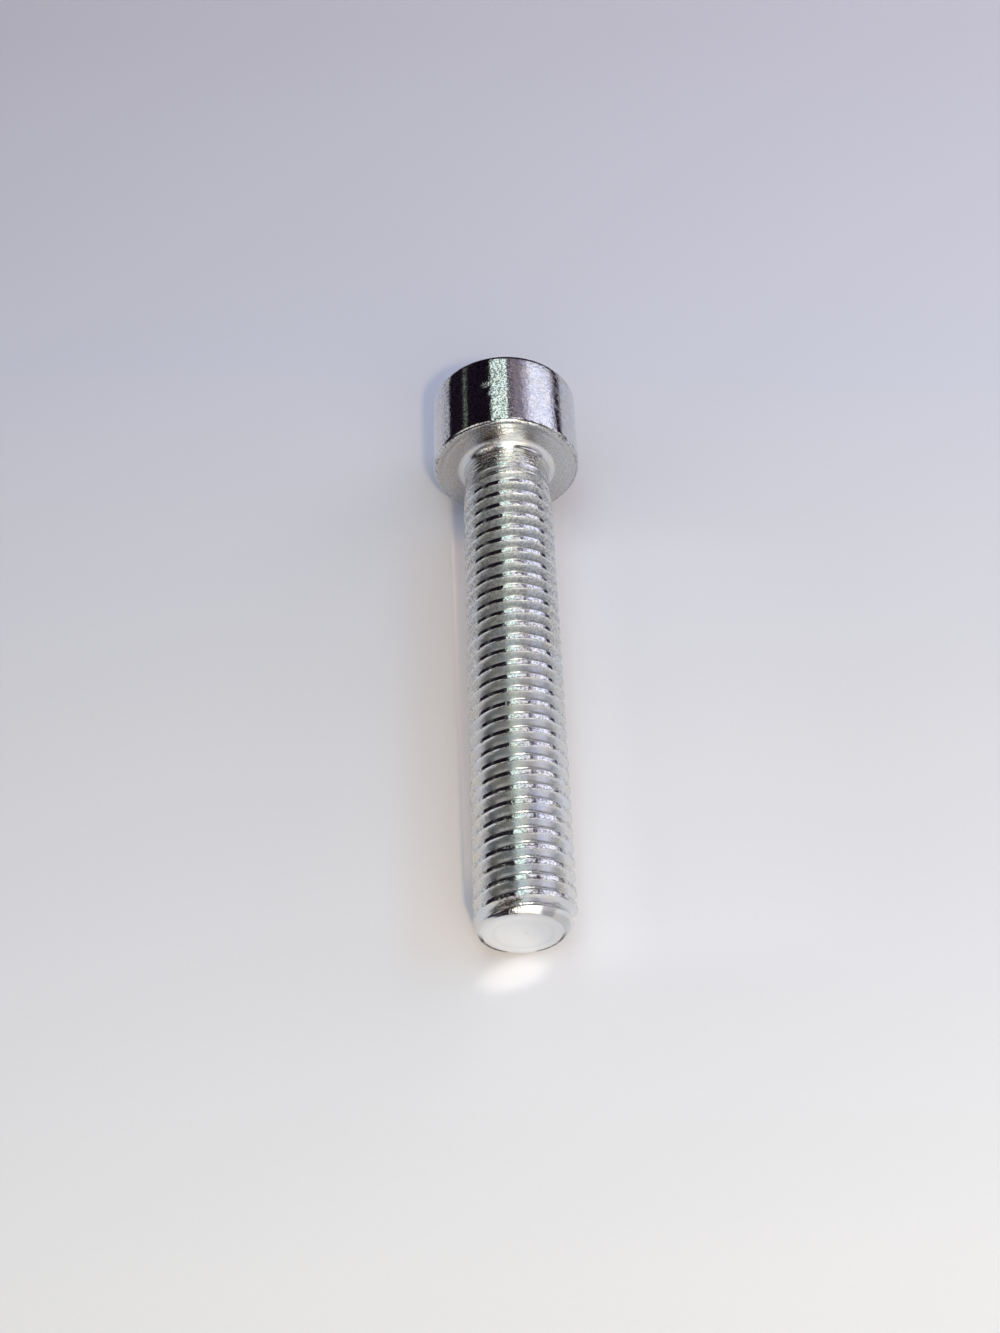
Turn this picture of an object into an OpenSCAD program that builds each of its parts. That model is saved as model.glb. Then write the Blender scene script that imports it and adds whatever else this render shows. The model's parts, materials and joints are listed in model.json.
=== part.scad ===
// Hex socket head cap screw, M8 x 1.25 x 45, threaded to the head, lying at rest.

/* [Head] */
// Diameter of the head
head_d = 13; // [12.6:0.1:13.4]
// Height of the head above its bearing face
head_h = 8; // [7.6:0.1:8.2]
// Radius of the rounded edge at the top of the head
head_round = 0.6; // [0.3:0.1:0.9]
// Chamfer round the rim of the bearing face
rim_chamfer = 0.3; // [0.1:0.05:0.5]
// Radius of the fillet between the bearing face and the neck
fillet_r = 0.65; // [0.4:0.05:0.8]

/* [Hex socket] */
// Size of the key, across the flats
socket_af = 6; // [5.8:0.1:6.4]
// Depth of the six flats
socket_depth = 4.3; // [3.8:0.1:4.8]
// Depth of the shallow cone that the punch leaves below the flats
socket_cone = 0.8; // [0.4:0.1:1.2]
// Width of the countersink outside the socket's corners
mouth_rim = 0.2; // [0.1:0.05:0.4]

/* [Shank] */
// Length from the bearing face to the tip; a 45 mm screw may be 0.5 mm shorter or longer
shank_l = 44.6; // [25:0.1:50]
// Diameter of the plain neck under the head
neck_d = 7.4; // [7:0.1:7.8]
// Length of the plain neck, fillet included
neck_l = 2; // [1.5:0.1:3]
// Diameter of the flat face at the tip
tip_d = 6.4; // [5.8:0.1:6.5]

/* [Thread] */
// Outer diameter over the crests
thread_d = 7.9; // [7.85:0.05:8]
// Distance from one turn to the next
pitch = 1.25; // [1.1:0.05:1.5]
// Turns over which the thread rises from the plain neck
rise_turns = 2; // [1:0.5:3]
// Place of the thread's start round the tip, in steps of one facet
start_step = 2; // [0:1:31]

/* [Hidden] */

head_r = head_d / 2;
neck_r = neck_d / 2;
crest_r = thread_d / 2;
tip_r = tip_d / 2;

// The socket's corners lie on this radius.
corner_r = socket_af / sqrt(3);
mouth_r = corner_r + mouth_rim;

// Metric thread form: flanks at 60 degrees, flat crest, wide root.
facets = 32;
crest_w = pitch / 8;
flank_w = pitch * 5 / 16;
root_r = crest_r - flank_w * tan(60);

// One turn holds four corners: where the root ends, both edges of the crest, and where the root begins.
corner_z = [0, flank_w, flank_w + crest_w, 2 * flank_w + crest_w];
corner_radii = [root_r, crest_r, crest_r, root_r];
corners = len(corner_z);

// The thread's body reaches a little way up inside the neck, and is a hair thinner than it there.
joint_l = 0.3;
joint_step = 0.02;
body_top = -neck_l + joint_l;

// The first turn is squeezed into thin steps at the tip, and the next one starts above them.
squeeze = 0.012;
lead_in = squeeze * (corners + 1);
columns = floor((body_top + shank_l - lead_in - squeeze) / pitch * facets);

// The screw lies on the rim of its head and on a crest near the tip, both straight below its axis.
// There the crest has a facet, between this column and the next one.
low_column = (facets / 4 - 1 - start_step + facets) % facets;
low_crests = [for (turn = [0:2]) for (side = [0, 1]) for (corner = [1, 2])
    column_h(low_column + side + turn * facets, corner)];
tilt = min([for (h = low_crests)
    atan((head_r - thread_r(h, crest_r) * cos(180 / facets)) / (shank_l - h + rim_chamfer))]);

// Distances from the bearing face's centre to the ground, and to the ends along the ground.
lift = head_r * cos(tilt) - rim_chamfer * sin(tilt);
head_reach = (head_r - head_round) * sin(tilt) + (head_h - head_round) * cos(tilt) + head_round;
tip_reach = tip_r * sin(tilt) + shank_l * cos(tilt);

// Outline of the head and neck, to be turned about the axis.
module head_outline() {
    polygon([
        [0, 0], [head_r - rim_chamfer, 0], [head_r, rim_chamfer],
        [head_r, head_h - head_round], [head_r - head_round, head_h], [0, head_h]
    ]);
    translate([head_r - head_round, head_h - head_round]) circle(head_round);
    translate([0, -neck_l]) square([neck_r, neck_l]);
    difference() {
        translate([0, -fillet_r]) square([neck_r + fillet_r, fillet_r]);
        translate([neck_r + fillet_r, -fillet_r]) circle(fillet_r);
    }
}

// Hollow left by the punch: six flats over a shallow cone, with a countersunk mouth.
module socket() {
    over = 1;
    translate([0, 0, head_h - socket_depth])
        cylinder(h = socket_depth + over, r = corner_r, $fn = 6);
    translate([0, 0, head_h - socket_depth - socket_cone])
        cylinder(h = socket_cone, r1 = 0, r2 = socket_af / 2, $fn = 60);
    translate([0, 0, head_h - mouth_r / sqrt(3)])
        cylinder(h = (mouth_r + over) / sqrt(3), r1 = 0, r2 = mouth_r + over, $fn = 60);
}

// Height above the tip of a corner of the thread, in one column of its helix.
function column_h(column, corner) =
    max(squeeze * (corner + 1), lead_in + pitch * (column / facets - 1) + corner_z[corner]);

// Share of its full depth that the thread has at this height.
function share(h) = min(1, max(0, (shank_l - neck_l - h) / (rise_turns * pitch)));

// Radius there: it rises from the neck, and the chamfer cuts it off at the tip.
function thread_r(h, radius) =
    min(tip_r + h, neck_r - joint_step + share(h) * (radius - neck_r + joint_step));

function column_angle(column) = (start_step + column + 1 / 2) * 360 / facets;

function ring_point(column, h, radius) =
    [radius * cos(column_angle(column)), radius * sin(column_angle(column)), h - shank_l];

function thread_point(column, corner) =
    let (h = column_h(column, corner)) ring_point(column, h, thread_r(h, corner_radii[corner]));

// Threaded body, one helical strip sewn to itself turn after turn, with a flat disc at either end.
module thread() {
    tip_ring = [for (i = [0:facets - 1]) ring_point(i, 0, tip_r)];
    top_ring = [for (i = [0:facets - 1])
        ring_point(columns + i, body_top + shank_l, neck_r - joint_step)];
    first_row = [for (i = [0:columns + facets]) thread_point(i, 0)];
    rows = [for (corner = [1:corners - 1]) for (i = [0:columns]) thread_point(i, corner)];

    top_at = facets;
    first_at = top_at + facets;
    rows_at = first_at + len(first_row);

    // Index of a corner; the last corner of a column is the first one of the column a turn later.
    function at(i, corner) =
        corner == 0 ? first_at + i
        : corner == corners ? first_at + i + facets
        : rows_at + (corner - 1) * (columns + 1) + i;

    strip = [for (i = [0:columns - 1]) for (c = [0:corners - 1])
        each [[at(i, c), at(i, c + 1), at(i + 1, c)], [at(i + 1, c), at(i, c + 1), at(i + 1, c + 1)]]];

    tip_edge = [for (i = [0:facets - 1])
        each [[i, at(i, 0), (i + 1) % facets],
              if (i < facets - 1) [i + 1, at(i, 0), at(i + 1, 0)]]];
    tip_seam = [[0, at(facets - 1, 0), at(0, 0)],
        for (c = [0:corners - 1]) [at(0, c), at(facets - 1, 0), at(0, c + 1)]];

    top_edge = [for (i = [0:facets - 1])
        each [[top_at + i, top_at + (i + 1) % facets, at(columns + i + 1, 0)],
              if (i > 0) [top_at + i, at(columns + i + 1, 0), at(columns + i, 0)]]];
    top_seam = [[top_at, at(columns + 1, 0), at(columns, corners)],
        for (c = [0:corners - 1]) [at(columns, c), at(columns, c + 1), at(columns + 1, 0)]];

    discs = [[for (i = [0:facets - 1]) i], [for (i = [facets - 1:-1:0]) top_at + i]];

    polyhedron(
        points = concat(tip_ring, top_ring, first_row, rows),
        faces = concat(strip, tip_edge, tip_seam, top_edge, top_seam, discs),
        convexity = 4
    );
}

// Moves a screw that stands on its bearing face at the origin to where it lies at rest.
module lay_down() {
    translate([0, (tip_reach - head_reach) / 2, lift])
        rotate([tilt - 90, 0, 0]) children();
}

module cap_screw() {
    color([0.78, 0.79, 0.8]) lay_down() {
        difference() {
            // Its seam is turned away from the ground.
            rotate(45) rotate_extrude($fn = 96) head_outline();
            socket();
        }
        thread();
    }
}

cap_screw();
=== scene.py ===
# A zinc plated socket head cap screw, lying on a sheet of paper under soft light.
import json
import math
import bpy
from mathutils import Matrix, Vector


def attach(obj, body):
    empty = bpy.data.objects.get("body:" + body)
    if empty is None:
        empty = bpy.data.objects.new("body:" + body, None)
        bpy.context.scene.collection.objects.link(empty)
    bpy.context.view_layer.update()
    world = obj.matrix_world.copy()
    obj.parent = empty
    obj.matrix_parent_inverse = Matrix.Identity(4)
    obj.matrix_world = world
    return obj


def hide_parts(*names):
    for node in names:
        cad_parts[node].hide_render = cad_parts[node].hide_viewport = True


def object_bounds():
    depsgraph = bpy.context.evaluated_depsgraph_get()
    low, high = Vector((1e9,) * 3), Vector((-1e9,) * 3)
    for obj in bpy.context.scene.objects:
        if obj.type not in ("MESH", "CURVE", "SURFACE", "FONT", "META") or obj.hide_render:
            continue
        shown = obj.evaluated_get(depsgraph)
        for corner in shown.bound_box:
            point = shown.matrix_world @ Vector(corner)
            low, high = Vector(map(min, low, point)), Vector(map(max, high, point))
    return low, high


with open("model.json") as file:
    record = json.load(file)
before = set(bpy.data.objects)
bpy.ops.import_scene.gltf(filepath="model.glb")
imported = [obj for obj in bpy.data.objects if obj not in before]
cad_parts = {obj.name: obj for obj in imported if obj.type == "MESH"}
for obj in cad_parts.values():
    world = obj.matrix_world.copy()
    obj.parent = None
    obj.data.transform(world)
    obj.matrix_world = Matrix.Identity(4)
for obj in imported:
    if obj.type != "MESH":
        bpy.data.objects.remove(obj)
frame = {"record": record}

from types import SimpleNamespace

import bmesh
import bpy
from mathutils import Matrix, Vector

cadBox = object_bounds()
mounts = {mount["name"]: mount for mount in frame["record"]["mounts"]}
seat = Vector(mounts["bearing_face"]["pos_m"])  # middle of the bearing face, on the screw's axis
headward = -Vector(mounts["bearing_face"]["axis"])
across = Vector((1, 0, 0))
place = Matrix((across, headward.cross(across), headward)).transposed().to_4x4()
place.translation = seat  # from the screw's own frame (+Z to the head, +Y down) to where it lies


def mm(*lengths):
    return Vector(lengths) / 1000


def bearing(azimuth, elevation):  # unit vector; azimuth turns from +Y towards +X
    a, e = math.radians(azimuth), math.radians(elevation)
    return Vector((math.sin(a) * math.cos(e), math.cos(a) * math.cos(e), math.sin(e)))


class Wire:  # an output socket of a shader or geometry tree, for sums written as sums
    def __init__(self, tree, socket=None):
        self.tree, self.socket = tree, socket

    def node(self, kind, settings=None, inputs=None, output=0):
        made = self.tree.nodes.new(kind)
        for name, value in (settings or {}).items():
            if name == "stops":
                ramp = made.color_ramp
                while len(ramp.elements) < len(value):
                    ramp.elements.new(0.5)
                for element, (position, colour) in zip(ramp.elements, value):
                    element.position, element.color = position, (*colour, 1)
            else:
                setattr(made, name, value)
        for name, value in (inputs or {}).items():
            if isinstance(value, Wire):
                self.tree.links.new(value.socket, made.inputs[name])
            else:
                made.inputs[name].default_value = value
        return Wire(self.tree, made.outputs[output] if made.outputs else None)

    def math(self, operation, *others):
        return self.node("ShaderNodeMath", {"operation": operation}, dict(enumerate((self, *others))))

    def vector(self, operation, *others, output=0):
        inputs = dict(enumerate((self, *others)))
        return self.node("ShaderNodeVectorMath", {"operation": operation}, inputs, output)

    def __add__(self, other):
        return self.math("ADD", other)

    def __sub__(self, other):
        return self.math("SUBTRACT", other)

    def __mul__(self, other):
        return self.math("MULTIPLY", other)

    def __truediv__(self, other):
        return self.math("DIVIDE", other)

    def __rsub__(self, other):
        return self.node("ShaderNodeMath", {"operation": "SUBTRACT"}, {0: other, 1: self})

    __radd__, __rmul__ = __add__, __mul__

    def least(self, other):
        return self.math("MINIMUM", other)

    def most(self, other):
        return self.math("MAXIMUM", other)

    def xyz(self):
        split = self.node("ShaderNodeSeparateXYZ", {}, {0: self}).socket.node
        return [Wire(self.tree, socket) for socket in split.outputs]

    def joined(self, x, y, z):
        return self.node("ShaderNodeCombineXYZ", {}, {0: x, 1: y, 2: z})

    def step(self, low, high):  # 0 below low, 1 above high, smooth between
        return self.node("ShaderNodeMapRange", {"interpolation_type": "SMOOTHSTEP"},
                         {"Value": self, "From Min": low, "From Max": high})

    def band(self, low, high, soft):  # 1 between low and high
        return self.step(low - soft, low) * (1 - self.step(high, high + soft))

    def blend(self, first, second):  # colours; this wire is the factor
        return self.node("ShaderNodeMix", {"data_type": "RGBA"}, {0: self, 6: first, 7: second}, 2)

    def noise(self, scale, detail=2.0, roughness=0.5, distortion=0.0):
        return self.node("ShaderNodeTexNoise", {}, {"Vector": self, "Scale": scale, "Detail": detail,
                                                    "Roughness": roughness, "Distortion": distortion})


def newMaterial(name):
    material = bpy.data.materials.new(name)
    material.use_nodes = True
    material.node_tree.nodes.clear()
    return material, Wire(material.node_tree)


cameraPlan = dict(aim=(-1.11, 1.02, 0), distance=132.94, azimuth=1.75, elevation=53.49, lens=41.42)


def makeCamera(plan):
    data = bpy.data.cameras.new("camera")
    data.lens, data.sensor_width = plan["lens"], 36
    data.clip_start, data.clip_end = 0.005, 20
    camera = bpy.data.objects.new("camera", data)
    look = bearing(plan["azimuth"], -plan["elevation"])
    camera.location = mm(*plan["aim"]) - look * plan["distance"] / 1000
    camera.rotation_euler = look.to_track_quat("-Z", "Y").to_euler()
    bpy.context.collection.objects.link(camera)
    bpy.context.scene.camera = camera


makeCamera(cameraPlan)
bpy.context.scene.view_settings.view_transform = "Standard"
print("camera set")

# lamps stand around the screw's length: roll turns them from straight above towards +X
# "glossy" lamps are seen only by the metal, and "diffuse" ones light only the paper
lamps = dict(
    key=dict(roll=6, along=-0.34, distance=700, size=(190, 190), radiance=17.0,
             colour=(1.0, 0.97, 0.91), lights="glossy"),
    sun=dict(roll=9.5, along=-0.70, distance=700, size=(36, 36), radiance=420.0,
             colour=(1.0, 0.80, 0.38), lights="diffuse"),
    veil=dict(roll=0, along=-0.20, distance=600, size=(900, 900), radiance=0.60,
              colour=(0.51, 0.66, 1.0), lights="diffuse"),
    panel=dict(roll=20, along=-0.80, distance=600, size=(540, 560), radiance=1.45, colour=(1.0, 0.98, 0.88)),
    top=dict(roll=-44, along=-0.25, distance=600, size=(480, 400), radiance=0.6, colour=(1.0, 0.94, 0.94)),
    fill=dict(roll=-55, along=-0.04, distance=600, size=(460, 440), radiance=0.30, colour=(0.93, 1.0, 0.90)),
    tube=dict(roll=-8, along=0.25, distance=600, size=(215, 820), radiance=1.2, colour=(0.83, 1.0, 0.94)),
    window=dict(roll=55, along=0.36, distance=600, size=(490, 636), radiance=0.65, colour=(0.88, 0.83, 1.04)),
    pane=dict(roll=56, along=0.40, distance=600, size=(330, 540), radiance=0.6, colour=(0.84, 0.92, 1.04)),
    ceiling=dict(roll=14, along=0.37, distance=640, size=(240, 660), radiance=0.25, colour=(1.0, 0.86, 1.04)),
    crown=dict(roll=14, along=0.45, distance=600, size=(200, 190), radiance=0.8,
               colour=(0.95, 0.97, 1.0), lights="glossy"),
    strip=dict(roll=-63, along=0.62, distance=600, size=(52, 300), radiance=0.14, colour=(0.85, 1.0, 0.8)),
)


def makeLamp(name, plan):
    roll = math.radians(plan["roll"])
    side = math.sqrt(1 - plan["along"] ** 2)
    out = Vector((side * math.sin(roll), plan["along"], side * math.cos(roll)))
    lengthwise = (Vector((0, 1, 0)) - out * out.y).normalized()
    data = bpy.data.lights.new(name, "AREA")
    data.shape = "RECTANGLE"
    data.size, data.size_y = (length / 1000 for length in plan["size"])  # across and along the screw
    data.color = plan["colour"]
    data.energy = plan["radiance"] * math.pi * data.size * data.size_y
    lamp = bpy.data.objects.new(name, data)
    lamp.matrix_world = Matrix((lengthwise.cross(out), lengthwise, out)).transposed().to_4x4()
    lamp.location = out * plan["distance"] / 1000
    lamp.visible_camera = False
    lamp.visible_diffuse = plan.get("lights") != "glossy"
    lamp.visible_glossy = plan.get("lights") != "diffuse"
    bpy.context.collection.objects.link(lamp)


for lampName, lampPlan in lamps.items():
    makeLamp(lampName, lampPlan)

glint = dict(aim=(-0.95, -27.95, 0), azimuth=176, elevation=62, distance=400, cone=0.8, squash=0.41, turn=12,
             softness=0.3, irradiance=1.0, colour=(1.0, 0.97, 0.92))


def makeGlint(plan):  # the small bright patch that the tip throws on the paper
    data = bpy.data.lights.new("glint", "SPOT")
    data.spot_size, data.spot_blend = math.radians(plan["cone"]), 1.0
    data.shadow_soft_size = plan["softness"] / 1000
    data.color = plan["colour"]
    data.energy = plan["irradiance"] * 4 * math.pi ** 2 * (plan["distance"] / 1000) ** 2 / math.pi
    back = bearing(plan["azimuth"], plan["elevation"])
    lamp = bpy.data.objects.new("glint", data)
    lamp.location = mm(*plan["aim"]) + back * plan["distance"] / 1000
    lamp.rotation_euler = back.to_track_quat("Z", "Y").to_euler()
    lamp.rotation_euler.rotate_axis("Z", math.radians(plan["turn"]))
    lamp.scale.y = plan["squash"]
    bpy.context.collection.objects.link(lamp)


makeGlint(glint)

sky = dict(low=(0.50, 0.49, 0.53), high=(0.030, 0.028, 0.034), start=8, end=34)


def makeSky(plan):  # pale near the horizon, dark above
    world = bpy.data.worlds.new("studio")
    bpy.context.scene.world = world
    world.use_nodes = True
    world.node_tree.nodes.clear()
    bench = Wire(world.node_tree)
    up = bench.node("ShaderNodeTexCoord", output="Generated").xyz()[2]
    rise = up.step(math.sin(math.radians(plan["start"])), math.sin(math.radians(plan["end"])))
    colour = rise.blend((*plan["low"], 1), (*plan["high"], 1))
    light = bench.node("ShaderNodeBackground", {}, {"Color": colour})
    bench.node("ShaderNodeOutputWorld", {}, {"Surface": light})


makeSky(sky)

surround = dict(paperEdge=78, backEdge=125, frontEdge=-200, lift=0.4, radius=720, azimuth=(-176, 62),
                height=900, columns=40, colour=(0.019, 0.012, 0.024))


def makeSurround(plan):  # the dark table and far wall, which only the bright metal mirrors
    material, bench = newMaterial("darkFelt")
    felt = bench.node("ShaderNodeBsdfDiffuse", {}, {"Color": (*plan["colour"], 1)})
    bench.node("ShaderNodeOutputMaterial", {}, {"Surface": felt})
    form = bmesh.new()

    def sheet(*corners):
        form.faces.new([form.verts.new(mm(*corner)) for corner in corners])

    side, near, back, far = plan["paperEdge"], plan["frontEdge"], plan["backEdge"], plan["radius"]
    lift, tall = plan["lift"], Vector((0, 0, plan["height"]))
    for left, right, low in ((-far, -side, near), (-side, side, back), (side, far, near)):
        sheet((left, low, lift), (right, low, lift), (right, far, lift), (left, far, lift))
    start, end = plan["azimuth"]
    swing = (end - start) / plan["columns"]
    feet = [bearing(start + swing * i, 0) * far for i in range(plan["columns"] + 1)]
    for left, right in zip(feet, feet[1:]):
        sheet(left, right, right + tall, left + tall)
    mesh = bpy.data.meshes.new("darkSurround")
    form.to_mesh(mesh)
    form.free()
    mesh.materials.append(material)
    darkSurround = bpy.data.objects.new("darkSurround", mesh)
    for ray in ("camera", "diffuse", "shadow", "transmission"):
        setattr(darkSurround, "visible_" + ray, False)
    bpy.context.collection.objects.link(darkSurround)


makeSurround(surround)
print("lamps, sky and surround set")

paper = dict(
    half=700, fade=(380, 640), near=-60, far=110,
    # painted light falloff: the paper's colour darkens and turns bluer from front to back
    stops=((0.06, (0.803, 0.801, 0.824)), (0.18, (0.750, 0.752, 0.800)), (0.35, (0.674, 0.675, 0.728)),
           (0.59, (0.603, 0.604, 0.705)), (0.94, (0.576, 0.553, 0.638))),
    # the slope is painted light: the paper grows lighter towards +X, as if lit from that side
    paintedLightSlope=0.0018, paintedLightSlopeEnd=0.14, fibre=(2.2, 4.0, 0.7), grain=0.035, bump=0.15, bumpHeight=0.03,
    # bands (low, high, soft) of painted light thrown by the shank: along it, and across with the gain
    beside=(-24, 13, 6), thrown=((3, 6, 5, 0.07), (3, 9, 24, 0.06)),
    # painted pink tint of bounced light on the paper left of the shank
    paintedPinkBounce=(-7, -3, 5), paintedPinkBounceLoss=(0.0, 0.06, 0.09),
    # painted fill light that lifts the sun lamp's shadow on the paper left of the shank
    paintedFillAlong=(-18, 14, 4), paintedFill=(-4.75, -3, 0.25), paintedFillFlare=0.018, paintedFillGain=(0.40, 0.28, 0.14),
)


def makePaper(plan):  # a matt sheet that fades into the sky, with light and shade painted into its colour
    material, bench = newMaterial("paper")
    local = bench.node("ShaderNodeTexCoord", output="Object")
    spot = local.vector("MULTIPLY", (1000, 1000, 1000))  # millimetres
    x, y, _ = spot.xyz()
    back = y.node("ShaderNodeMapRange", {}, {"Value": y, "From Min": plan["near"], "From Max": plan["far"]})
    # painted light falloff from front to back, through the stops
    paintedFalloff = back.node("ShaderNodeValToRGB", {"stops": plan["stops"]}, {"Fac": back})
    fibre = spot.noise(*plan["fibre"])
    # painted light: lighter towards +X
    lean = (x * plan["paintedLightSlope"]).least(plan["paintedLightSlopeEnd"]).most(-plan["paintedLightSlopeEnd"])
    gain = 1 + lean + (fibre - 0.5) * plan["grain"]
    beside = y.band(*plan["beside"])
    # painted light thrown by the shank onto the paper beside it
    for low, high, soft, more in plan["thrown"]:
        gain = gain * (1 + beside * x.band(low, high, soft) * more)
    # painted pink tint of bounced light, left of the shank
    paintedPinkBounce = x.band(*plan["paintedPinkBounce"]) * beside
    # painted fill light inside the sun lamp's shadow left of the shank
    paintedFill = (x + y * plan["paintedFillFlare"]).band(*plan["paintedFill"]) * y.band(*plan["paintedFillAlong"])
    red, green, blue = (gain * (1 - paintedPinkBounce * loss) * (1 + paintedFill * more)
                        for loss, more in zip(plan["paintedPinkBounceLoss"], plan["paintedFillGain"]))
    colour = paintedFalloff.vector("MULTIPLY", gain.joined(red, green, blue))
    bump = bench.node("ShaderNodeBump", {}, {
        "Strength": plan["bump"], "Distance": plan["bumpHeight"] / 1000, "Height": fibre})
    sheet = bench.node("ShaderNodeBsdfPrincipled", {}, {
        "Base Color": colour, "Roughness": 0.85, "Specular IOR Level": 0.2, "Normal": bump})
    reach = spot.vector("LENGTH", output="Value").step(*plan["fade"])
    clear = bench.node("ShaderNodeBsdfTransparent")
    surface = bench.node("ShaderNodeMixShader", {}, {0: reach, 1: sheet, 2: clear})
    bench.node("ShaderNodeOutputMaterial", {}, {"Surface": surface})
    mesh = bpy.data.meshes.new("paperSheet")
    h = plan["half"] / 1000
    mesh.from_pydata([(-h, -h, 0), (h, -h, 0), (h, h, 0), (-h, h, 0)], [], [(0, 1, 2, 3)])
    mesh.materials.append(material)
    sheetObject = bpy.data.objects.new("paperSheet", mesh)
    bpy.context.collection.objects.link(sheetObject)


makePaper(paper)
print("paper laid")

# the screw's sizes in millimetres, heights from the bearing face, towards the head
head = dict(
    radius=(cadBox[1].x - cadBox[0].x) * 500,
    height=(Vector(mounts["hex_socket"]["pos_m"]) - seat).length * 1000,
    topRound=0.6, rimWidth=0.30, rimHeight=0.34, rimTurns=(8, 25, 42, 58, 74, 90), sideStart=0.5,
    fillet=0.65, neckRadius=3.7, neckLength=2.0, neckStart=1.3,
    seatRings=((4.7, 0), (5.3, 0), (5.66, 0), (5.71, 0.012), (5.77, 0)),  # with a fine turned line
    topRings=(5.4, 4.8, 4.2), keySize=6.0, flats=4.3, wallHeights=(2.6, 1.2, 0.1), mouthRim=0.2,
    punchRadius=2.9, cone=0.8, coneRings=6,
)
shank = dict(
    length=(Vector(mounts["thread"]["pos_m"]) - seat).length * 1000,
    crestRadius=mounts["thread"]["dims"]["r_mm"] - 0.035,  # crests a little worn
    tipRadius=3.2, tipShift=-0.3, rimRound=0.06, pitch=1.25, crestHeight=0.44,
    lean=headward.z / headward.y, leanDepth=1.6,  # the sheared tip stands upright where the screw lies
    # the tip's dimple: shares of its radius with depths, and the depth in the middle
    dish=((0.90, 0.008), (0.76, 0.016), (0.73, 0.032), (0.70, 0.046), (0.66, 0.050), (0.3, 0.056),
          (0.08, 0.060)),
    dishDepth=0.063,
)
zinc = dict(
    cool=(0.78, 0.80, 0.84), warm=(0.82, 0.80, 0.75),  # bright plating
    deep=(0.42, 0.43, 0.43), soot=(0.10, 0.08, 0.07),  # grain and darker zones, and painted shade in the tip's dimple; dirt in pits, and a dark line on the tip's lower rim
    brown=(0.26, 0.19, 0.15), pale=(0.96, 0.97, 0.96),  # brown patches, and a painted brightening of the sheared tip
    rough=dict(side=0.09, seat=0.20, neck=0.18, crest=0.12, tip=0.22, flankByHead=0.42, flankByTip=0.27,
               fillet=0.15, cloud=0.06, scuff=0.2),
    # noises by scale, detail, roughness and distortion
    peel=(4.5, 1.5, 0.5), strokes=(1.6, 3.0, 0.6, 1.8), cloud=(0.7, 3.0, 0.6), fleck=(6.0, 1.0, 0.5),
    grain=(4.6, 2.0, 0.7),
    turningPitch=0.22, ridgePitch=0.42, bumpHeight=0.010,
    scuffs=((-1.87, -6.22, 4.52, 0.50), (-1.45, -6.34, 3.5, 0.35)),  # place and radius
    # brown patches, by place and radius
    brownPatches=((-1.3, -5.0, 0.0, 1.5), (-1.7, -3.5, -1.2, 1.5), (2.4, -2.9, -1.4, 0.9),
            (-1.2, -3.4, -43.7, 1.3)),
)
# where one finish ends and the next begins: (start, end) of a step, or (low, high, soft) of a band
edges = dict(
    sideRadius=(6.30, 6.42), sideHeight=(0.28, head["height"] - 0.35, 0.12),
    seatRadius=(4.25, 4.45), seatHeight=(0.03, 0.12),
    filletRadius=(3.9, 4.3, 0.15), filletHeight=(-1.0, -0.05, 0.2),
    neckRadius=(3.5, 4.0, 0.1), neckHeight=(-2.5, -1.1, 0.3),
    threadTop=(-2.8, -2.3), runOut=(-4.2, -2.7), runOutDrop=0.12,
    crest=(3.83, 3.88), flank=(3.78, 3.86), flankHeight=(0.3, 0.9), root=(3.28, 3.42),
    # dimpleRimShade and dimpleMiddleShade mark painted shade on the tip face
    tipRadius=(3.1, 3.2), tipHeight=(0.05, 0.10), dimpleRimShade=(2.18, 2.34, 0.12), dimpleMiddleShade=(0.15, 0.35),
    lowerRimLineRadius=(3.02, 3.35, 0.05), lowerRimLineHeight=(0.05, 0.25), lowerRimLineBelow=(-0.4, 0.8), lowerRimLineGap=(-1.2, 0.6, 0.4),
    nickRadius=(6.24, 6.6, 0.05), nickHeight=(-0.1, 0.34, 0.06),
    upper=(-4, 0), saltAcross=(-2.2, 0.3, 0.8), pitAcross=(-5.2, 0.3, 0.6), waveAcross=(0.5, 2.0),
)


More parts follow.
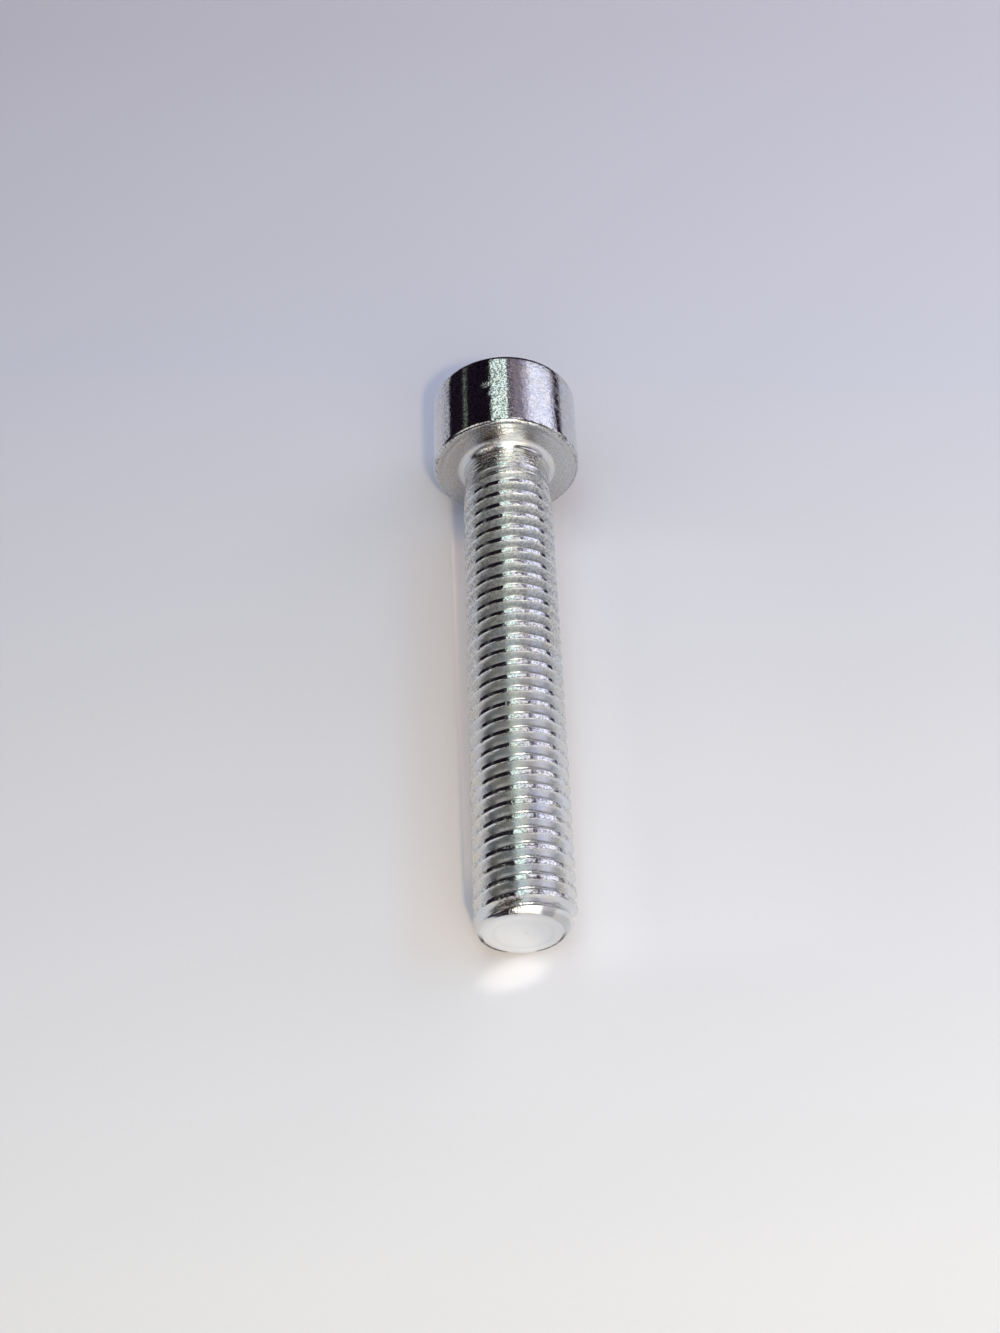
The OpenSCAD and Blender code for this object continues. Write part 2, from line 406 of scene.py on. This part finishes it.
def findZones(own):  # what part of the screw a point is on, as marks from 0 to 1, and its millimetres
    x, y, z = own.xyz()
    radius = (x * x + y * y).math("SQRT")
    tipHeight = z + shank["length"]
    tipRadius = radius * radius / (radius + x * (shank["tipShift"] / shank["tipRadius"]))  # on its own axis
    inThread = 1 - z.step(*edges["threadTop"])
    raised = radius + z.step(*edges["runOut"]) * edges["runOutDrop"]  # the thread is lower where it begins
    upper = 1 - y.step(*edges["upper"])
    atTip = 1 - tipHeight.step(*edges["tipHeight"])
    return SimpleNamespace(
        x=x, z=z, radius=radius, tipHeight=tipHeight,
        side=radius.step(*edges["sideRadius"]) * z.band(*edges["sideHeight"]),
        seat=radius.step(*edges["seatRadius"]) * (1 - z.step(*edges["seatHeight"])),
        fillet=radius.band(*edges["filletRadius"]) * z.band(*edges["filletHeight"]),
        neck=radius.band(*edges["neckRadius"]) * z.band(*edges["neckHeight"]),
        crest=inThread * raised.step(*edges["crest"]),
        flank=inThread * (1 - raised.step(*edges["flank"])) * tipHeight.step(*edges["flankHeight"]),
        root=inThread * (1 - radius.step(*edges["root"])),
        tip=atTip * (1 - tipRadius.step(*edges["tipRadius"])),
        dimpleRimShade=tipRadius.band(*edges["dimpleRimShade"]), dimpleMiddleShade=1 - tipRadius.step(*edges["dimpleMiddleShade"]),
        # lowerRimLine: the lower half of the tip's rim, with a gap
        lowerRimLine=tipRadius.band(*edges["lowerRimLineRadius"]) * (1 - tipHeight.step(*edges["lowerRimLineHeight"]))
        * y.step(*edges["lowerRimLineBelow"]) * (1 - x.band(*edges["lowerRimLineGap"])),
        nick=radius.band(*edges["nickRadius"]) * z.band(*edges["nickHeight"]),
        salted=x.band(*edges["saltAcross"]) * upper, pitted=x.band(*edges["pitAcross"]) * upper)


def makeZinc(plan):
    material, bench = newMaterial("zincPlate")
    own = bench.node("ShaderNodeMapping", {"vector_type": "TEXTURE"}, {
        "Vector": bench.node("ShaderNodeTexCoord", output="Object"),
        "Location": seat, "Rotation": place.to_euler(), "Scale": (0.001, 0.001, 0.001)})
    at = findZones(own)
    noises = (own.noise(*plan[name]) for name in ("peel", "strokes", "cloud", "fleck", "grain"))
    peel, strokes, cloud, fleck, grain = noises

    def waves(along, pitch, wander):
        return (along * (2 * math.pi / pitch) + strokes * wander).math("SINE")

    def near(places):  # 1 close to any of the places
        whole = 0
        for x, y, z, reach in places:
            away = own.vector("DISTANCE", (x, y, z), output="Value")
            whole = whole + (1 - away.step(reach / 2, reach))
        return whole

    scuffed = near(plan["scuffs"]) * strokes.step(0.45, 0.6)
    brownPatched = near(plan["brownPatches"]).least(1.0)
    turning = waves(at.radius, plan["turningPitch"], 5)
    ridges = waves(at.z, plan["ridgePitch"], 4) * at.neck

    height = peel * (0.4 + at.crest * cloud.step(0.45, 0.55) * 1.2 + at.flank * 1.2 + brownPatched * 2.0)
    height = height + strokes * (0.3 + at.side * (0.3 + at.x.step(*edges["waveAcross"]) * 1.2))
    height = height + turning * (at.seat * 0.15 + at.tip * 0.08) + scuffed * peel * 4 + ridges * 1.2
    bump = bench.node("ShaderNodeBump", {}, {"Distance": plan["bumpHeight"] / 1000, "Height": height})

    rough = plan["rough"]
    flankRough = rough["flankByTip"] + at.tipHeight.step(8, 40) * (rough["flankByHead"] - rough["flankByTip"])
    roughness = (cloud - 0.5) * rough["cloud"] + scuffed * rough["scuff"] + at.fillet * rough["fillet"] \
        + rough["neck"] + at.flank * (flankRough - rough["neck"])
    for name in ("side", "seat", "crest", "tip"):
        roughness = roughness + getattr(at, name) * (rough[name] - rough["neck"])

    colour = cloud.step(0.35, 0.65).blend((*plan["cool"], 1), (*plan["warm"], 1))
    # darker flanks, more so towards the head, a darker bearing face and darker thread roots, with grain
    # flecks on the head, crests and neck
    darker = at.side * (fleck.step(0.42, 0.56) * (0.3 + at.salted * 0.5) + strokes.step(0.45, 0.6) * 0.4) \
        + at.flank * (0.15 + at.tipHeight.step(8, 34) * (0.1 + grain.step(0.42, 0.58) * 0.75)) \
        + at.seat * (0.4 + fleck.step(0.45, 0.6) * 0.4) + at.crest * fleck.step(0.5, 0.6) * 0.6 \
        + at.neck * fleck.step(0.45, 0.55) * 0.5 + at.root * 0.5
    pits = at.side * at.pitted * fleck.step(0.48, 0.58) + at.crest * grain.step(0.50, 0.60) * 0.8 \
        + at.nick * strokes.step(0.46, 0.54) * fleck.step(0.42, 0.52)
    layers = (
        # painted highlight: the sheared tip face made paler, as if lit by the bright patch before it
        (darker.least(1.0), "deep"), (pits * 0.65, "soot"), (at.tip * 0.5, "pale"),
        (at.tip * (at.dimpleRimShade * 0.12 + at.dimpleMiddleShade * 0.15), "deep"),  # painted shade at the dimple's rim and in its middle
        # brown flecks within the listed patches
        (fleck.step(0.48, 0.58) * brownPatched * (1 - at.side) * 0.9, "brown"),
        # a dark line along the tip's lower rim
        (at.lowerRimLine * (0.5 + strokes.step(0.35, 0.55) * 0.5), "soot"),
    )
    for factor, name in layers:
        colour = factor.blend(colour, (*plan[name], 1))
    metal = bench.node("ShaderNodeBsdfPrincipled", {}, {
        "Base Color": colour, "Metallic": 1.0, "Roughness": roughness, "Normal": bump})
    bench.node("ShaderNodeOutputMaterial", {}, {"Surface": metal})
    return material


zincPlate = makeZinc(zinc)
print("zinc plate mixed")

columns = 96  # round the axis; a whole number to each of the six flats


def arc(middle, radius, start, end, count):
    angles = [math.radians(start + (end - start) * i / count) for i in range(count + 1)]
    return [(middle[0] + radius * math.cos(a), middle[1] + radius * math.sin(a)) for a in angles]


def keyRadius(angle):  # from the axis to the wall of the hex socket
    sixth = math.pi / 3
    return head["keySize"] / 2 / math.cos(angle % sixth - sixth / 2)


def headRings(p):  # radius and height of each ring of points, from the neck to the socket's floor
    neck, R, H = p["neckRadius"], p["radius"], p["height"]
    mouth = p["keySize"] / math.sqrt(3) + p["mouthRim"]
    floor = H - p["flats"]
    rings = [(neck, -p["neckLength"]), (neck, -p["neckStart"])]
    rings += arc((neck + p["fillet"], -p["fillet"]), p["fillet"], 180, 90, 10)
    rings += [*p["seatRings"], (R - p["rimWidth"] - 0.06, 0.006)]
    rings += [(R - p["rimWidth"] * (1 - math.sin(a)), p["rimHeight"] * (1 - math.cos(a)) + 0.01)
              for a in map(math.radians, p["rimTurns"])]
    rings += [(R, p["sideStart"] + (H - p["topRound"] - p["sideStart"]) * i / 8) for i in range(8)]
    rings += arc((R - p["topRound"], H - p["topRound"]), p["topRound"], 0, 90, 9)
    rings += [(radius, H) for radius in (*p["topRings"], mouth + 0.06)] + [(mouth, H - 0.012)]

    def wall(height):
        return lambda angle: (keyRadius(angle), height)

    def countersink(drop):
        return lambda angle: (keyRadius(angle), H - (mouth - keyRadius(angle)) / math.sqrt(3) - drop)

    rings += [countersink(0), countersink(0.08)]
    rings += [wall(floor + height) for height in p["wallHeights"]]
    rings += [lambda angle: (keyRadius(angle) - 0.07, floor)]
    cone = [i / p["coneRings"] for i in range(p["coneRings"])]
    rings += [(p["punchRadius"] * (1 - share), floor - p["cone"] * share) for share in cone]
    return rings, floor - p["cone"]


def tipRings(p):
    tip, r = p["tipRadius"], p["rimRound"]
    rings = [(tip + r, r), (tip + 0.6 * r, 0.6 * r), (tip, 0.3 * r), (tip - r, 0.1 * r), (tip - 2 * r, 0)]
    rings += [(tip * share, depth) for share, depth in p["dish"]]
    return [(radius, depth - p["length"]) for radius, depth in rings], p["dishDepth"] - p["length"]


def leanOut(x, y, z):  # the tip's lower edge reaches further than its upper one
    share = min(max((z + shank["length"]) / shank["leanDepth"], 0), 1)
    fade = 1 - share * share * (3 - 2 * share)
    return x, y, z - (y + shank["tipRadius"]) * shank["lean"] * fade


def addRings(form, rings, centreHeight, shift=0.0):
    loops = []
    for ring in rings:
        loop = []
        for i in range(columns):
            angle = 2 * math.pi * i / columns
            r, h = ring(angle) if callable(ring) else ring
            r *= 1 + shift / shank["tipRadius"] * math.cos(angle)
            loop.append(form.verts.new(mm(*leanOut(r * math.cos(angle), r * math.sin(angle), h))))
        loops.append(loop)
    for low, high in zip(loops, loops[1:]):
        for i in range(columns):
            j = (i + 1) % columns
            form.faces.new((low[i], low[j], high[j], high[i]))
    pole = form.verts.new(mm(*leanOut(0, 0, centreHeight)))
    for i in range(columns):
        form.faces.new((loops[-1][i], loops[-1][(i + 1) % columns], pole))


blank = bmesh.new()
addRings(blank, *headRings(head))
addRings(blank, *tipRings(shank), shank["tipShift"])
blankMesh = bpy.data.meshes.new("blank")
blank.to_mesh(blankMesh)
blank.free()
screw = bpy.data.objects.new("capScrew", blankMesh)
bpy.context.collection.objects.link(screw)
print("head and tip turned")

threadInputs = {
    "Pitch": shank["pitch"], "Crest Radius": shank["crestRadius"], "Root Radius": 3.25,
    "Neck Radius": head["neckRadius"], "Tip Radius": shank["tipRadius"], "Tip Shift": shank["tipShift"],
    "Rim Round": shank["rimRound"],
    "Length": shank["length"] - head["neckLength"], "Crest Height": shank["crestHeight"],
    "Crest Width": 0.33, "Crest Rounding": 0.03, "Root Rounding": 0.24, "Chamfer Rounding": 0.08,
    "Rise Turns": 2.0, "Seam Depth": 0.03, "Wear": 0.02,
    "Lean": shank["lean"], "Lean Depth": shank["leanDepth"],
    "Columns": columns, "Rows Per Turn": 24, "Turns": 37, "Seed": 5, "Finish": zincPlate,
}
wear = dict(girth=3.9, seedStep=1.7, noise={"Scale": 2.2, "Detail": 3.0, "Roughness": 0.6},
            crest=(0.10, 0.20), seam=(0.0, 0.10), fromTip=(0.9, 1.8), gain=4)
flankAngle, grooveSlope, chamferStart = 60, 1.5, (0.1, 0.4)


def threadTree():  # one long grid wound into a helix, joined to the head and tip
    tree = bpy.data.node_groups.new("rolledThread", "GeometryNodeTree")
    tree.interface.new_socket("Geometry", in_out="INPUT", socket_type="NodeSocketGeometry")
    for name, value in threadInputs.items():
        kind = {int: "NodeSocketInt", float: "NodeSocketFloat"}.get(type(value), "NodeSocketMaterial")
        tree.interface.new_socket(name, in_out="INPUT", socket_type=kind)
    tree.interface.new_socket("Geometry", in_out="OUTPUT", socket_type="NodeSocketGeometry")
    bench = Wire(tree)
    given = tree.nodes.new("NodeGroupInput")
    size = {socket.name: Wire(tree, socket) for socket in given.outputs}

    grid = bench.node("GeometryNodeMeshGrid", {}, {
        "Size X": 1.0, "Size Y": 1.0, "Vertices X": size["Columns"] + 1,
        "Vertices Y": size["Rows Per Turn"] * size["Turns"] + 1})
    u, v, _ = bench.node("GeometryNodeInputPosition").xyz()
    turn = u + 0.5
    even = (v + 0.5) * size["Turns"] - 2
    row = even - (even * (4 * math.pi)).math("SINE") / (8 * math.pi)  # closer at crest and root

    height = (row + turn) * size["Pitch"] + size["Crest Height"]  # from the tip
    height = height.most(size["Rim Round"]).least(size["Length"])
    fromCrest = (((row + 0.5).math("FRACT") - 0.5) * size["Pitch"]).math("ABSOLUTE")

    steep = math.tan(math.radians(flankAngle))
    flank = size["Crest Radius"] + (size["Crest Width"] / 2 - fromCrest) * steep
    form = flank.math("SMOOTH_MIN", size["Crest Radius"], size["Crest Rounding"])
    form = form.math("SMOOTH_MAX", size["Root Radius"], size["Root Rounding"])
    rise = ((size["Length"] - height) / (size["Rise Turns"] * size["Pitch"])).step(0.0, 1.0)
    radius = size["Neck Radius"] + (form - size["Neck Radius"]) * rise

    angle = turn * (2 * math.pi)
    cosine, sine = angle.math("COSINE"), angle.math("SINE")
    chips = bench.node("ShaderNodeTexNoise", {"noise_dimensions": "4D"}, {
        "Vector": bench.joined(cosine * wear["girth"], sine * wear["girth"], height),
        "W": size["Seed"] * wear["seedStep"], **wear["noise"]})
    onCrest = 1 - fromCrest.step(*wear["crest"])
    inside = height.step(*wear["fromTip"])
    seam = 1 - fromCrest.step(*wear["seam"])
    seam = seam * (1 - rise) * rise * wear["gain"]  # the crest closes last in the run-out
    worn = (chips - 0.5).most(0.0) * onCrest * rise * wear["gain"]
    radius = radius - (seam * size["Seam Depth"] + worn * size["Wear"]) * inside
    chamfer = (size["Tip Radius"] + height) * (1 + size["Tip Shift"] / size["Tip Radius"] * cosine)
    radius = radius.most(chamfer - (height - size["Rim Round"]) * grooveSlope)  # the groove runs out here
    radius = radius.math("SMOOTH_MIN", chamfer, size["Chamfer Rounding"] * height.step(*chamferStart))

    side, below = radius * cosine, radius * sine
    fade = 1 - (height / size["Lean Depth"]).step(0.0, 1.0)
    leaning = (below + size["Tip Radius"]) * size["Lean"] * fade
    spot = bench.joined(side, below, height - shank["length"] - leaning)
    wound = bench.node("GeometryNodeSetPosition", {}, {
        "Geometry": grid, "Position": spot.vector("MULTIPLY", (0.001, 0.001, 0.001))})
    join = bench.node("GeometryNodeJoinGeometry", {}, {0: size["Geometry"]})
    tree.links.new(wound.socket, join.socket.node.inputs[0])
    whole = bench.node("GeometryNodeMergeByDistance", {}, {"Geometry": join, "Distance": 1e-6})
    whole = bench.node("GeometryNodeRealizeInstances", {}, {"Geometry": whole})
    whole = bench.node("GeometryNodeSetMaterial", {}, {"Geometry": whole, "Material": size["Finish"]})
    bench.node("NodeGroupOutput", {}, {0: whole})
    return tree


modifier = screw.modifiers.new("rolledThread", "NODES")
modifier.node_group = threadTree()
for item in modifier.node_group.interface.items_tree:
    if item.in_out == "INPUT" and item.name in threadInputs:
        modifier[item.identifier] = threadInputs[item.name]
evaluated = screw.evaluated_get(bpy.context.evaluated_depsgraph_get())
screwMesh = bpy.data.meshes.new_from_object(evaluated)
screw.modifiers.remove(modifier)

tidy = bmesh.new()
tidy.from_mesh(screwMesh)
bmesh.ops.dissolve_degenerate(tidy, edges=tidy.edges, dist=1e-7)
bmesh.ops.recalc_face_normals(tidy, faces=tidy.faces)
openEdges = sum(not edge.is_manifold for edge in tidy.edges)
volume = tidy.calc_volume(signed=True) * 1e9
tidy.to_mesh(screwMesh)
tidy.free()
screwMesh.shade_smooth()
screwMesh.set_sharp_from_angle(angle=math.radians(38))  # edges sharper than this stay crisp
screwMesh.transform(place)
screw.data = screwMesh
screwMesh.name = "capScrew"
triangles = sum(len(face.vertices) - 2 for face in screwMesh.polygons)
print("thread rolled:", triangles, "triangles,", openEdges, "open edges,", round(volume), "cubic millimetres")

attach(screw, "root")
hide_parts("cap_screw")
